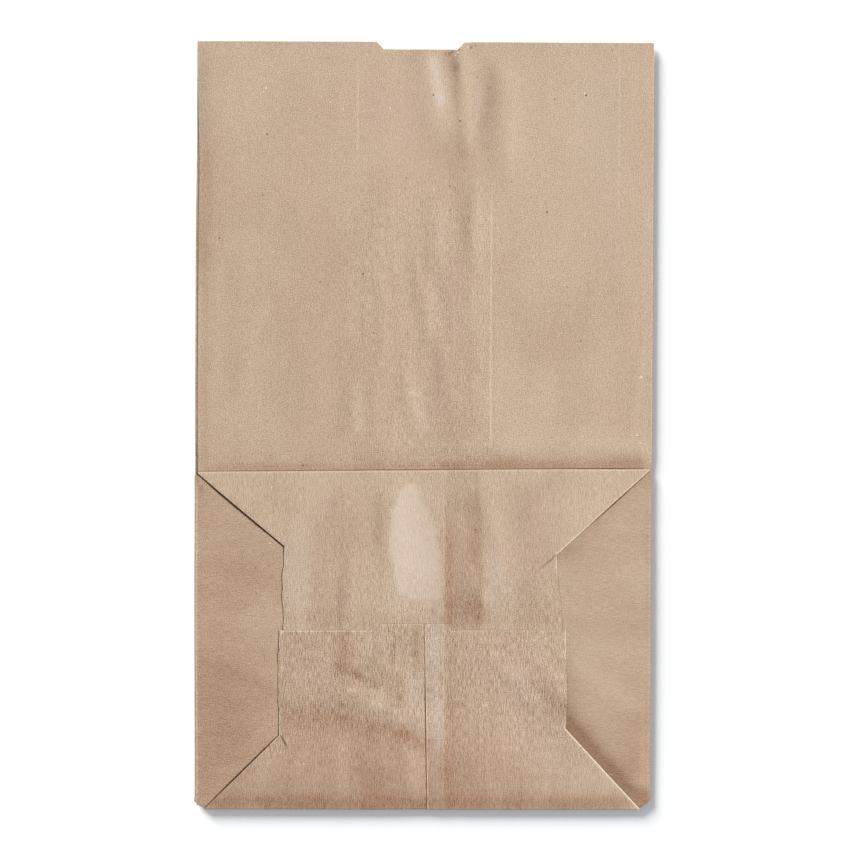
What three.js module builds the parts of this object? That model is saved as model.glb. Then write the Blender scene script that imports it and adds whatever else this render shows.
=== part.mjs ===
// A flat-folded brown paper bag with side gussets and a pasted square bottom.
//
// The bag is one blank of kraft paper. It is folded to a flat tube with a tucked gusset on each
// side, the long edges are glued to a seam down the back, and the tube's lower end is folded and
// pasted to a square bottom. Folded flat, that bottom lies up over the front of the bag.
//
// Millimetres. The bag lies on its back: X runs across it, Y along it towards the mouth, Z up.
// The origin is under the middle of the bag, on the surface that it lies on. Distances along the
// bag are worked out as v, which is 0 at the bottom fold and flatLength at the mouth.
import * as THREE from "three";

// The bag, folded flat
const bagWidth = 210;
const flatLength = 353;
const bottomDepth = 156; // the square bottom's short side, which is also one gusset's full width
const paperThickness = 0.12;

// Air and paste between the plies
const looseGap = 0.18;
const pasteGap = 0.03;
const pliesUnderBottom = 4; // tucked plies that end halfway down the folded-up bottom

// Thumb notch in the mouth, cut through both walls, and the tab that the same cut leaves on each
// flap of the next bag
const notchCentre = -3;
const notchWidth = 38;
const notchFloor = 32;
const notchDepth = 3.4;

// Long seam down the back
const seamEdge = 1.6;
const seamOverlap = 8;
const seamRamp = 1.5; // length over which a ply climbs on to the ply that it is glued to

// Flaps of the square bottom. Slits and corners are measured from the flap's own fold line.
const flapOverlap = 9; // how far the lower flap is pasted over the upper one
const overlapRamp = 3; // length over which it climbs on to the upper flap's end
const lowerSlit = { inset: 39, depth: 35.8 }; // where the slit beside the lower tongue ends
const upperSlit = { inset: 42, depth: 36.7 };
const lowerCorner = { across: 5, along: 4.3 }; // how far a blunt corner reaches along each edge
const upperCorner = { across: 1.3, along: 1.8 };

// How far the walls and flaps sink between the gussets, in loose ply steps
const wallSag = 1.5;
const flapSag = 2.5;
const sagSteps = 10;
const bendSteps = 6;

// Steps in height from one ply to the next, and the middle height of each ply
const half = paperThickness / 2;
const looseStep = paperThickness + looseGap;
const pasteStep = paperThickness + pasteGap;
const backZ = half;
const gussetBackZ = backZ + looseStep;
const gussetFrontZ = gussetBackZ + looseStep;
const frontZ = gussetFrontZ + looseStep;
const tuckedFrontZ = frontZ + looseStep;
const tuckedGussetZ = tuckedFrontZ + looseStep;
const endPanelZ = tuckedGussetZ + looseStep;
const sideFlapZ = endPanelZ + looseStep;
const cornerStripZ = sideFlapZ + pasteStep;
const flapZ = cornerStripZ + pasteStep;
const tiltRise = pliesUnderBottom * looseStep;

// How far a fold stands out beyond its axis
const foldReach = (lowZ, highZ) => (highZ - lowZ) / 2 + half;

// Axes of the folds. Each is set back by the fold's reach, so that the paper ends on the true size.
const sideX = bagWidth / 2 - foldReach(backZ, gussetBackZ);
const creaseX = bagWidth / 2 - bottomDepth / 2;
const bottomV = foldReach(backZ, flapZ - tiltRise);
const topV = bottomDepth - foldReach(tuckedFrontZ, flapZ);
const middleV = bottomDepth / 2 + foldReach(gussetFrontZ, tuckedGussetZ);
const pastedSetback = foldReach(sideFlapZ, cornerStripZ) + half / 4;

// Ends of the flaps and of the seam. All four flaps of the bottom are cut to one length.
const flapLength = (bottomDepth + flapOverlap) / 2;
const flapEndX = bagWidth / 2 - flapLength;
const sagHalfWidth = flapEndX - paperThickness * 4;
const seamEnd = seamEdge + seamOverlap;
const seamClear = seamEdge - paperThickness * 2;

// The folded-up bottom leans down to the bottom fold, where fewer plies lie under it.
const tilt = (v) => (tiltRise * (v - middleV)) / middleV;
const sag = (x, steps) =>
  Math.abs(x) < sagHalfWidth
    ? (steps * looseStep * (1 + Math.cos((Math.PI * x) / sagHalfWidth))) / 2
    : 0;

const clamp01 = (share) => Math.min(1, Math.max(0, share));
const between = (a, b, share) => a + (b - a) * clamp01(share);

// The line through two plan points, as v at x
const line = (a, b) => (x) => a.v + ((b.v - a.v) * (x - a.x)) / (b.x - a.x);

// A flap's slanting edge, on the bag's right: from the blunt corner to the inner end of the slit.
// start is the corner, join the place where the corner strip's own fold begins.
function slant(axisV, inwards, corner, slit, foldV) {
  const start = { x: bagWidth / 2 - corner.across, v: axisV };
  const end = { x: bagWidth / 2 - slit.inset, v: foldV + inwards * slit.depth };
  const joinV = axisV + inwards * pastedSetback;
  const share = (joinV - start.v) / (end.v - start.v);
  const join = { x: between(start.x, end.x, share), v: joinV };
  return { start, join, end, at: line(start, end) };
}
const lowerSlant = slant(bottomV, 1, lowerCorner, lowerSlit, 0);
const upperSlant = slant(topV, -1, upperCorner, upperSlit, bottomDepth);
const lowerSideV = lowerCorner.along;
const upperSideV = bottomDepth - upperCorner.along;

// Stations across the bag. Every ply has vertices at all the stations that it covers, so that
// plies which meet at a fold meet vertex to vertex.
function makeStations() {
  const notch = [notchWidth / 2, notchFloor / 2].flatMap((d) => [notchCentre - d, notchCentre + d]);
  const seam = [seamEdge - seamRamp, seamClear, seamEdge, seamEnd, seamEnd + seamRamp];
  const oneSide = [
    flapEndX,
    creaseX,
    lowerSlant.end.x,
    upperSlant.end.x,
    lowerSlant.join.x,
    upperSlant.join.x,
    lowerSlant.start.x,
    upperSlant.start.x,
    sideX,
  ];
  const fixed = [...notch, ...seam, ...oneSide, ...oneSide.map((x) => -x)];
  const smooth = Array.from(
    { length: sagSteps + 1 },
    (_, i) => sagHalfWidth * ((2 * i) / sagSteps - 1),
  ).filter((x) => fixed.every((other) => Math.abs(x - other) > looseStep));
  return [...fixed, ...smooth].sort((a, b) => a - b);
}
const stations = makeStations();
const within = (low, high) =>
  stations.filter((x, i) => x >= low && x <= high && (i === 0 || x > stations[i - 1]));

// A sheet of paper as its middle surface, which is thickened at the end. A vertex has a normal
// that points to the outside of the bag, and faces turn themselves to agree with it.
class FoldedSheet {
  constructor() {
    this.indexOf = new Map();
    this.middle = [];
    this.normals = [];
    this.faces = [];
  }

  vertex(x, v, z, normal) {
    const weldsPerMm = 1e4;
    const key = [x, v, z].map((c) => Math.round(c * weldsPerMm)).join(" ");
    if (!this.indexOf.has(key)) {
      this.indexOf.set(key, this.middle.length);
      this.middle.push(new THREE.Vector3(x, v, z));
      this.normals.push(normal);
    }
    return this.indexOf.get(key);
  }

  face(corners) {
    const loop = corners.filter((c, i) => c !== corners[(i + 1) % corners.length]);
    if (loop.length < 3) return;
    const [a, b, c] = [loop[0], loop[1], loop[2]].map((i) => this.middle[i]);
    const facing = new THREE.Vector3().crossVectors(b.clone().sub(a), c.clone().sub(a));
    this.faces.push(facing.dot(this.normals[loop[0]]) < 0 ? loop.reverse() : loop);
  }

  // A flat or gently waved ply: one strip between each two stations, from low(x) to high(x).
  ply({ xs, low, high, z, outsideUp }) {
    const normal = new THREE.Vector3(0, 0, outsideUp ? 1 : -1);
    const at = (x, v) => this.vertex(x, v, z(x, v), normal);
    xs.slice(1).forEach((right, i) => {
      const left = xs[i];
      const corners = [
        at(left, low(left)),
        at(right, low(right)),
        at(right, high(right)),
        at(left, high(left)),
      ];
      this.face(corners);
    });
  }

  // A fold: a half tube from the ply at lowZ up to the ply at highZ, along plan points that both
  // plies have. It stands out towards the plan direction outward. outsideIn says that the bag's
  // outside is the hollow side of the fold.
  fold({ points, lowZ, highZ, outward, outsideIn }) {
    const away = new THREE.Vector2(...outward).normalize();
    const rows = points.map(({ x, v }) => {
      const [low, high] = [lowZ(x, v), highZ(x, v)];
      const radius = (high - low) / 2;
      return Array.from({ length: bendSteps + 1 }, (_, k) => {
        const turn = (Math.PI * k) / bendSteps;
        const out = k === 0 || k === bendSteps ? 0 : Math.sin(turn);
        const normal = new THREE.Vector3(away.x * out, away.y * out, -Math.cos(turn));
        if (outsideIn) normal.negate();
        const centre = (low + high) / 2;
        const reach = radius * out;
        const height = centre - radius * Math.cos(turn);
        return this.vertex(x + away.x * reach, v + away.y * reach, height, normal);
      });
    });
    rows.slice(1).forEach((row, i) => {
      row.slice(1).forEach((top, k) => this.face([rows[i][k], row[k], top, rows[i][k + 1]]));
    });
  }

  // The solid: the outside faces, the inside faces, and a rim along every free edge.
  geometry() {
    const count = this.middle.length;
    const positions = [1, -1].flatMap((side) =>
      this.middle.flatMap((point, i) => {
        const moved = point.clone().addScaledVector(this.normals[i], side * half);
        return [moved.x, moved.y - flatLength / 2, moved.z];
      }),
    );
    const inside = (i) => i + count;
    const edgeKey = (a, b) => `${a} ${b}`;
    const edges = new Set();
    this.faces.forEach((f) => f.forEach((a, i) => edges.add(edgeKey(a, f[(i + 1) % f.length]))));
    const triangles = [];
    const addPolygon = (f) => {
      for (let i = 2; i < f.length; i++) triangles.push(f[0], f[i - 1], f[i]);
    };
    const addInside = (f) => {
      for (let i = 2; i < f.length; i++) triangles.push(inside(f[0]), inside(f[i]), inside(f[i - 1]));
    };
    for (const f of this.faces) {
      addPolygon(f);
      addInside(f);
      f.forEach((a, i) => {
        const b = f[(i + 1) % f.length];
        if (!edges.has(edgeKey(b, a))) addPolygon([b, a, inside(a), inside(b)]);
      });
    }
    const made = new THREE.BufferGeometry();
    made.setAttribute("position", new THREE.Float32BufferAttribute(positions, 3));
    made.setIndex(triangles);
    made.computeVertexNormals();
    return made;
  }
}

const sheet = new FoldedSheet();
const always = (value) => () => value;
const leftSide = -1;
const rightSide = 1;

// Heights of the plies that aren't level
const frontAt = (x) => frontZ - sag(x, wallSag);
const tuckedFrontAt = (x, v) => tuckedFrontZ - sag(x, wallSag) + tilt(v);
const leaning = (height) => (x, v) => height + tilt(v);
const upperFlapAt = (x, v) => flapZ - sag(x, flapSag) + tilt(v);

// The mouth's edge, with the thumb notch
function cutEdge(x, edgeV, depth) {
  const fromCentre = Math.abs(x - notchCentre);
  const share = (notchWidth / 2 - fromCentre) / ((notchWidth - notchFloor) / 2);
  return edgeV + depth * clamp01(share);
}
const mouthV = (x) => cutEdge(x, flatLength, -notchDepth);

// A back edge with blunt corners where the bottom fold meets the side folds
function bluntEdge(axisV, sideV, cornerX) {
  return (x) => between(axisV, sideV, (Math.abs(x) - cornerX) / (sideX - cornerX));
}

// Back wall, in two parts that overlap at the long seam. The left part climbs on to the right part.
const climbToSeam = (x) =>
  backZ + between(0, pasteStep, (x - seamEdge + seamRamp) / (seamClear - seamEdge + seamRamp));
const leftStations = (reach) => within(-reach, seamEnd);
const rightStations = (reach) => within(seamEdge, reach);

function backWall() {
  const low = bluntEdge(bottomV, lowerSideV, lowerSlant.start.x);
  const shape = { low, high: mouthV, outsideUp: false };
  sheet.ply({ ...shape, xs: leftStations(sideX), z: climbToSeam });
  sheet.ply({ ...shape, xs: rightStations(sideX), z: always(backZ) });
}

// Front wall, down to its hidden fold under the bottom, and the part of it that is tucked back up
// to the free edge of the bottom
function frontWall() {
  const xs = within(-sideX, sideX);
  sheet.ply({ xs, low: always(middleV), high: mouthV, z: frontAt, outsideUp: true });
  const high = bluntEdge(topV, upperSideV, upperSlant.start.x);
  sheet.ply({ xs, low: always(middleV), high, z: tuckedFrontAt, outsideUp: false });
  const points = xs.map((x) => ({ x, v: middleV }));
  sheet.fold({
    points,
    lowZ: frontAt,
    highZ: tuckedFrontAt,
    outward: [0, -1],
    outsideIn: true,
  });
}

// One gusset: its back half, its front half, the small triangle that the hidden fold turns up, and
// the end panel that lies under the side flap
function gusset(side) {
  const xs = within(creaseX, sideX);
  const tip = { x: creaseX, v: middleV };
  const lowEdge = line(tip, { x: sideX, v: lowerSideV });
  const highEdge = line(tip, { x: sideX, v: upperSideV });
  const mirrored = (panel) => {
    const onRight = (f) => (x, v) => f(Math.abs(x), v);
    const { low, high, z } = panel;
    const shape = { low: onRight(low), high: onRight(high), z: onRight(z) };
    sheet.ply({ ...panel, ...shape, xs: xs.map((x) => side * x) });
  };
  const along = (edge) => xs.map((x) => ({ x: side * x, v: edge(x) }));
  const upright = (x, from, to) => [from, to].map((v) => ({ x: side * x, v }));
  const flatBottom = always(middleV);
  const toMouth = always(flatLength);

  mirrored({ low: lowEdge, high: toMouth, z: always(gussetBackZ), outsideUp: true });
  mirrored({ low: flatBottom, high: toMouth, z: always(gussetFrontZ), outsideUp: false });
  mirrored({ low: flatBottom, high: highEdge, z: leaning(tuckedGussetZ), outsideUp: true });
  mirrored({ low: lowEdge, high: highEdge, z: leaning(endPanelZ), outsideUp: false });

  const sideFolds = [
    [backZ, gussetBackZ, lowerSideV, flatLength, always],
    [gussetFrontZ, frontZ, middleV, flatLength, always],
    [tuckedFrontZ, tuckedGussetZ, middleV, upperSideV, leaning],
    [endPanelZ, sideFlapZ, lowerSideV, upperSideV, leaning],
  ];
  for (const [low, high, from, to, height] of sideFolds) {
    sheet.fold({
      points: upright(sideX, from, to),
      lowZ: height(low),
      highZ: height(high),
      outward: [side, 0],
      outsideIn: false,
    });
  }
  const gussetFolds = [
    [upright(creaseX, middleV, flatLength), always(gussetBackZ), always(gussetFrontZ), [-side, 0]],
    [along(flatBottom), always(gussetFrontZ), leaning(tuckedGussetZ), [0, -1]],
    [along(lowEdge), always(gussetBackZ), leaning(endPanelZ), [-side, -1]],
    [along(highEdge), leaning(tuckedGussetZ), leaning(endPanelZ), [-side, 1]],
  ];
  gussetFolds.forEach(([points, lowZ, highZ, outward], i) => {
    const wrapsFrontWall = i === 1;
    sheet.fold({ points, lowZ, highZ, outward, outsideIn: !wrapsFrontWall });
  });
}

// One end of the square bottom: the side flap, and the two corner strips that the slits leave
// folded over it
function bottomEnd(side) {
  const xs = within(flapEndX, sideX);
  const lowV = lowerSlant.join.v;
  const highV = upperSlant.join.v;
  const low = bluntEdge(lowV, lowerSideV, lowerSlant.join.x);
  const high = bluntEdge(highV, upperSideV, upperSlant.join.x);
  const place = (list) => list.map((x) => side * x);
  const sideFlapAt = leaning(sideFlapZ);
  sheet.ply({ xs: place(xs), low, high, z: sideFlapAt, outsideUp: true });

  for (const [edge, towardsFold] of [
    [lowerSlant, -1],
    [upperSlant, 1],
  ]) {
    const stripXs = xs.filter((x) => x <= edge.join.x);
    const slitV = (x) => (Math.abs(x) <= edge.end.x ? edge.end.v : edge.at(Math.abs(x)));
    const [from, to] = towardsFold < 0 ? [always(edge.join.v), slitV] : [slitV, always(edge.join.v)];
    const stripAt = leaning(cornerStripZ);
    sheet.ply({ xs: place(stripXs), low: from, high: to, z: stripAt, outsideUp: false });
    sheet.fold({
      points: stripXs.map((x) => ({ x: side * x, v: edge.join.v })),
      lowZ: sideFlapAt,
      highZ: stripAt,
      outward: [0, towardsFold],
      outsideIn: true,
    });
    sheet.fold({
      points: stripXs.filter((x) => x >= edge.end.x).map((x) => ({ x: side * x, v: edge.at(x) })),
      lowZ: stripAt,
      highZ: edge === lowerSlant ? lowerFlapAt(side) : upperFlapAt,
      outward: [side, -towardsFold],
      outsideIn: false,
    });
  }
}

// Upper flap, which hangs from the free edge, and the tongue between its slits
function upperFlap() {
  const { start, end, at } = upperSlant;
  const xs = within(-start.x, start.x);
  const tongueXs = within(-end.x, end.x);
  const slantV = (x) => (Math.abs(x) <= end.x ? end.v : at(Math.abs(x)));
  const endV = (x) => cutEdge(x, bottomDepth - flapLength, -notchDepth);
  const shape = { z: upperFlapAt, outsideUp: true };
  sheet.ply({ ...shape, xs, low: slantV, high: always(topV) });
  sheet.ply({ ...shape, xs: tongueXs, low: endV, high: always(end.v) });
  sheet.fold({
    points: xs.map((x) => ({ x, v: topV })),
    lowZ: tuckedFrontAt,
    highZ: upperFlapAt,
    outward: [0, 1],
    outsideIn: false,
  });
}

// Lower flap, which goes on from the back wall at the bottom fold and is pasted over the upper
// flap's end. Its right part lies over its left part at the long seam.
const overlapStart = bottomDepth - flapLength - notchDepth - overlapRamp * 1.5;
const lowerFlapLeft = (x, v) =>
  upperFlapAt(x, v) + between(0, pasteStep, (v - overlapStart) / overlapRamp);
const lowerFlapRight = (x, v) =>
  lowerFlapLeft(x, v) + between(pasteStep, 0, (x - seamEnd) / seamRamp);
const lowerFlapAt = (side) => (side === leftSide ? lowerFlapLeft : lowerFlapRight);

function lowerFlap() {
  const { start, end, at } = lowerSlant;
  const slantV = (x) => (Math.abs(x) <= end.x ? end.v : at(Math.abs(x)));
  const endV = (x) => cutEdge(x, flapLength, notchDepth);
  const rows = [always(end.v), always(overlapStart), always(overlapStart + overlapRamp), endV];
  const halves = [
    [leftStations, lowerFlapLeft, climbToSeam],
    [rightStations, lowerFlapRight, always(backZ)],
  ];
  for (const [pick, height, backHeight] of halves) {
    const shape = { z: height, outsideUp: true };
    sheet.ply({ ...shape, xs: pick(start.x), low: always(bottomV), high: slantV });
    rows.slice(1).forEach((high, i) => {
      sheet.ply({ ...shape, xs: pick(end.x), low: rows[i], high });
    });
    sheet.fold({
      points: pick(start.x).map((x) => ({ x, v: bottomV })),
      lowZ: backHeight,
      highZ: height,
      outward: [0, -1],
      outsideIn: false,
    });
  }
}

backWall();
frontWall();
for (const side of [leftSide, rightSide]) {
  gusset(side);
  bottomEnd(side);
}
upperFlap();
lowerFlap();

const kraftPaper = new THREE.MeshStandardMaterial({
  color: 0xc4ab93,
  roughness: 0.85,
  metalness: 0,
  side: THREE.DoubleSide,
});
const paperBag = new THREE.Mesh(sheet.geometry(), kraftPaper);
paperBag.name = "paper_bag";

const bag = new THREE.Group();
bag.add(paperBag);

export default bag;
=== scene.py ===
"""A flat-folded brown paper bag, lying on its back on a white table and seen from straight above.

The bag is one sheet of kraft paper. It is built here as it is folded: ply by ply and fold by fold,
with the height of each ply, the waves and creases of the paper, and for each point its place on the
unfolded blank, so that the grain of the paper runs the right way on every ply.

Sizes are in millimetres until the mesh is made. v is the distance from the bottom fold.
"""

import bisect
import math

import bpy
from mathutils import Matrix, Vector, noise


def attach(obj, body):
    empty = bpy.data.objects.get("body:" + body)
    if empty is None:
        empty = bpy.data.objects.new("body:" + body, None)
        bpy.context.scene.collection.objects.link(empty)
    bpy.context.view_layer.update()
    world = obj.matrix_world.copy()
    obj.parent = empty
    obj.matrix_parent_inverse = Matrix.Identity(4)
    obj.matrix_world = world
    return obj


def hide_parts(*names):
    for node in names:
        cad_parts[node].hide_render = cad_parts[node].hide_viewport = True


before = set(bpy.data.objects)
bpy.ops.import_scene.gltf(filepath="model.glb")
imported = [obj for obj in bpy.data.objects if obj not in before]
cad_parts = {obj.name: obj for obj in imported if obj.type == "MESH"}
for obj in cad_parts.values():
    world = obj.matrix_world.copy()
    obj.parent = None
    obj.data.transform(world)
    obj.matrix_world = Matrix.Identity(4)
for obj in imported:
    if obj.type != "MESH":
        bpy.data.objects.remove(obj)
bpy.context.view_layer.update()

MM = 0.001
NEAR = 1e-4  # lengths this close are the same

# Sizes of the bag

WIDTH = 210.0
HALF_WIDTH = WIDTH / 2
LENGTH = 353.0
DEPTH = 156.0  # of the bottom
PAPER = 0.12
LOOSE = 0.18  # between plies that only lie on each other
PASTE = 0.03  # between pasted plies
TUCKED_SKEW = 0.0115  # slope of the upper edge of the folded-up bottom
TONGUE_SKEW = 0.004  # slope of the end of the lower tongue

SEAM_EDGE = 1.6  # x of the free edge that shows on the lower tongue
SEAM_END = 9.6  # x of the free edge under it
SEAM_RAMP = 1.5  # width in which a ply climbs onto the other
SEAM_CREASE = 9.4  # the hidden edge shows faintly through the ply over it
FLAP_END = 82.4
OVERLAP_RAMP = 3.0
OVERLAP_START = 65.0
NOTCH = {"centre": -2.2, "width": 40.4, "floor": 34.0, "depth": 3.45}
TAB = {"centre": -4.0, "width": 34.0, "floor": 31.4, "depth": 2.9}

HALF = PAPER / 2
LOOSE_STEP = PAPER + LOOSE
PASTE_STEP = PAPER + PASTE
BACK = HALF
GUSSET_BACK = BACK + LOOSE_STEP
GUSSET_FRONT = GUSSET_BACK + LOOSE_STEP
FRONT = GUSSET_FRONT + LOOSE_STEP
TUCKED_FRONT = FRONT + LOOSE_STEP
TUCKED_GUSSET = TUCKED_FRONT + LOOSE_STEP
END_PANEL = TUCKED_GUSSET + LOOSE_STEP
SIDE_FLAP = END_PANEL + LOOSE_STEP
CORNER_STRIP = SIDE_FLAP + PASTE_STEP
FLAP = CORNER_STRIP + PASTE_STEP
TILT_RISE = 4 * LOOSE_STEP


def reach(low, high):
    return (high - low) / 2 + HALF


SIDE_X = WIDTH / 2 - reach(BACK, GUSSET_BACK)
CREASE_X = WIDTH / 2 - DEPTH / 2
BOTTOM_V = reach(BACK, FLAP - TILT_RISE)
TOP_V = DEPTH - reach(TUCKED_FRONT, FLAP)
MIDDLE_V = DEPTH / 2 + reach(GUSSET_FRONT, TUCKED_GUSSET)
PASTED_SETBACK = reach(SIDE_FLAP, CORNER_STRIP) + HALF / 4
FLAP_END_X = WIDTH / 2 - FLAP_END
SAG_HALF = FLAP_END_X - 4 * PAPER
SEAM_CLEAR = SEAM_EDGE - 2 * PAPER
# spacing of the mesh from each place on, across and along the bag
STEPS_X = ((-WIDTH / 2, 2.4), (-40, 1.3), (42, 2.4))
STEPS_V = ((0, 2.0), (84, 2.9), (154, 1.8), (172, 4.4), (300, 2.8))
BEND_STEPS = 6
FRONT_SAG = 1.5  # in loose steps, in the middle
FLAP_SAG = 2.5


def clamp(t):
    return min(1.0, max(0.0, t))


def mix(a, b, t):
    return a + (b - a) * clamp(t)


def ease(a, b, x):
    t = clamp((x - a) / (b - a))
    return t * t * (3 - 2 * t)


def hill(x, centre, width):
    return math.exp(-(((x - centre) / width) ** 2))


def stretch(v, low, high, soft):
    """1 between low and high, fading out over soft at each end"""
    return ease(low - soft, low + soft, v) * (1 - ease(high - soft, high + soft, v))


def cloud(x, v, size_x, size_v, seed):
    """smooth noise, about -0.6 to 0.6"""
    return noise.noise(Vector((x / size_x + seed * 7.3, v / size_v - seed * 3.1, seed * 1.7)))


def waves(x, v, size_x, size_v, seed):
    """smooth noise that is nearly all above 0"""
    return 0.6 + cloud(x, v, size_x, size_v, seed)


def streaks(items, x, v):
    """sum of soft strokes (x0, v0, x1, v1, width, amount)"""
    total = 0.0
    for x0, v0, x1, v1, width, amount in items:
        reach_out = 2.4 * width
        if not min(x0, x1) - reach_out < x < max(x0, x1) + reach_out:
            continue
        if not min(v0, v1) - reach_out < v < max(v0, v1) + reach_out:
            continue
        dx, dv = x1 - x0, v1 - v0
        t = clamp(((x - x0) * dx + (v - v0) * dv) / (dx * dx + dv * dv))
        away = (x - x0 - t * dx) ** 2 + (v - v0 - t * dv) ** 2
        total += amount * math.exp(-away / width**2)
    return total


def line(a, b):
    return lambda x: a[1] + (b[1] - a[1]) * (x - a[0]) / (b[0] - a[0])


class Slant:
    """A flap's slanting edge on one side: corner, start of the strip's own fold, inner end"""

    def __init__(self, axis_v, inwards, across, inset, depth, fold_v):
        self.start = (WIDTH / 2 - across, axis_v)
        self.end = (WIDTH / 2 - inset, fold_v + inwards * depth)
        join_v = axis_v + inwards * PASTED_SETBACK
        share = (join_v - self.start[1]) / (self.end[1] - self.start[1])
        self.join = (mix(self.start[0], self.end[0], share), join_v)
        self.at = line(self.start, self.end)
        (x0, v0), (x1, v1) = self.start, self.end
        span = math.hypot(x1 - x0, v1 - v0)
        self.along = ((x1 - x0) / span, (v1 - v0) / span)
        self.span = span

    def place(self, x, v):
        """distance along the edge from its corner, and distance off it, + towards the bag's side"""
        dx, dv = x - self.start[0], v - self.start[1]
        ax, av = self.along
        off = dx * av - dv * ax
        return dx * ax + dv * av, off if av > 0 else -off

    def limit(self, x):
        """v of the edge at x, and further in of the slit's end"""
        return self.end[1] if abs(x) <= self.end[0] + NEAR else self.at(abs(x))


LOWER = {
    -1: Slant(BOTTOM_V, 1, across=4.7, inset=39.1, depth=34.0, fold_v=0),
    1: Slant(BOTTOM_V, 1, across=5.0, inset=39.3, depth=37.6, fold_v=0),
}
UPPER = {
    -1: Slant(TOP_V, -1, across=1.3, inset=41.3, depth=34.9, fold_v=DEPTH),
    1: Slant(TOP_V, -1, across=0.7, inset=43.6, depth=38.6, fold_v=DEPTH),
}
LOWER_SIDE_V = {-1: 3.9, 1: 4.6}
UPPER_SIDE_V = DEPTH - 1.8


def side_of(x):
    return -1 if x < 0 else 1


# Stations: every ply has its vertices on these lines


def fill(fixed, low, high, steps):
    """fixed places from low to high, with more between them where they are further than the step"""
    fixed = [low, high, *fixed, *(start for start, _ in steps)]
    kept = []
    for place in sorted(set(round(p, 5) for p in fixed if low <= p <= high)):
        if not kept or place - kept[-1] > 0.02:
            kept.append(place)
    out = []
    for a, b in zip(kept, kept[1:]):
        step = [s for start, s in steps if start <= (a + b) / 2][-1]
        n = max(1, math.ceil((b - a) / step))
        out += [a + (b - a) * i / n for i in range(n)]
    return out + [kept[-1]]


# pale creases down the front wall: x, v from and to, strength
WALL_CREASES = ((-30.9, 344, 300, 0.20), (30.8, 280, 168, 0.30), (89.2, 352, 276, 0.16))
BESIDE = 0.5  # a second line close to an edge keeps what is painted beside it sharp
fixed_x = [0.0, SEAM_EDGE - SEAM_RAMP, SEAM_CLEAR, SEAM_EDGE, SEAM_END, SEAM_END + SEAM_RAMP]
fixed_x += [SEAM_END - BESIDE, SEAM_END + BESIDE, SEAM_EDGE + BESIDE, SEAM_CREASE - BESIDE]
for cut in (NOTCH, TAB):
    for d in (cut["width"] / 2, cut["floor"] / 2):
        fixed_x += [cut["centre"] - d, cut["centre"] + d]
for s in (-1, 1):
    fixed_x += [s * x for x in (FLAP_END_X, CREASE_X, SIDE_X, SIDE_X - 0.6, SIDE_X - 1.6, SAG_HALF)]
    for edge in (LOWER[s], UPPER[s]):
        fixed_x += [s * p[0] for p in (edge.start, edge.join, edge.end)]
        fixed_x += [s * (edge.end[0] - BESIDE)]
for x, *_ in WALL_CREASES:
    fixed_x += [x - BESIDE, x, x + BESIDE]
STATIONS_X = fill(fixed_x, -SIDE_X, SIDE_X, STEPS_X)

fixed_v = [BOTTOM_V, TOP_V, MIDDLE_V, LENGTH, OVERLAP_START, OVERLAP_START + OVERLAP_RAMP]
fixed_v += [FLAP_END - BESIDE, LENGTH - 0.6, DEPTH + 0.8, DEPTH + 2.0, TOP_V - 0.7]
for s in (-1, 1):
    fixed_v += [LOWER[s].end[1], UPPER[s].end[1]]
STATIONS_V = fill(fixed_v, BOTTOM_V, LENGTH, STEPS_V)


def within(low, high):
    a = bisect.bisect_left(STATIONS_X, low - NEAR)
    b = bisect.bisect_right(STATIONS_X, high + NEAR)
    return STATIONS_X[a:b]


def column(low, high, coarse, covered=-math.inf):
    """places v at which a ply has vertices on one station, few of them where it is covered"""
    if high - low < NEAR:
        return [low]
    gap, few, first = 0.6, 6, 3
    inner = [v for v in STATIONS_V if low + gap < v < high - gap]
    if coarse:
        inner = inner[coarse // 2 :: coarse]
    inner = [v for i, v in enumerate(inner) if v > covered or i % few == first]
    return [low] + inner + [high]


# The sheet


class Ply:
    """One layer of the folded sheet"""

    def __init__(
        self, height, outside_up, blank, relief=None, shift=None, look=None, coarse=0, covered=-1.0
    ):
        self.height = height
        self.up = outside_up
        self.blank = blank
        self.relief = relief
        self.shift = shift
        self.marks, self.lines = look or (edge_marks, no_lines)
        self.coarse = coarse
        self.covered = covered  # below this v the ply is hidden, and its mesh is coarse
        self.bundled = False  # moves with the tucked plies of the bottom

    def at(self, x, v):
        dx, dv = self.shift(x, v) if self.shift else (0.0, 0.0)
        all_dx, all_dv = settle(x, v)
        dv += TUCKED_SKEW * x * ease(95, 150, v) if self.bundled else 0.0
        z = self.height(x, v) + (self.relief(x, v) if self.relief else 0.0)
        return Vector((x + dx + all_dx, v + dv + all_dv, HALF + (z - HALF) * pressed(x, v)))

    def look(self, x, v):
        """place on the blank, marks and fine lines"""
        contact, rim = self.lines(x, v)
        return (*self.blank(x, v), 0.0), self.marks(x, v), contact, rim


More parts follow.
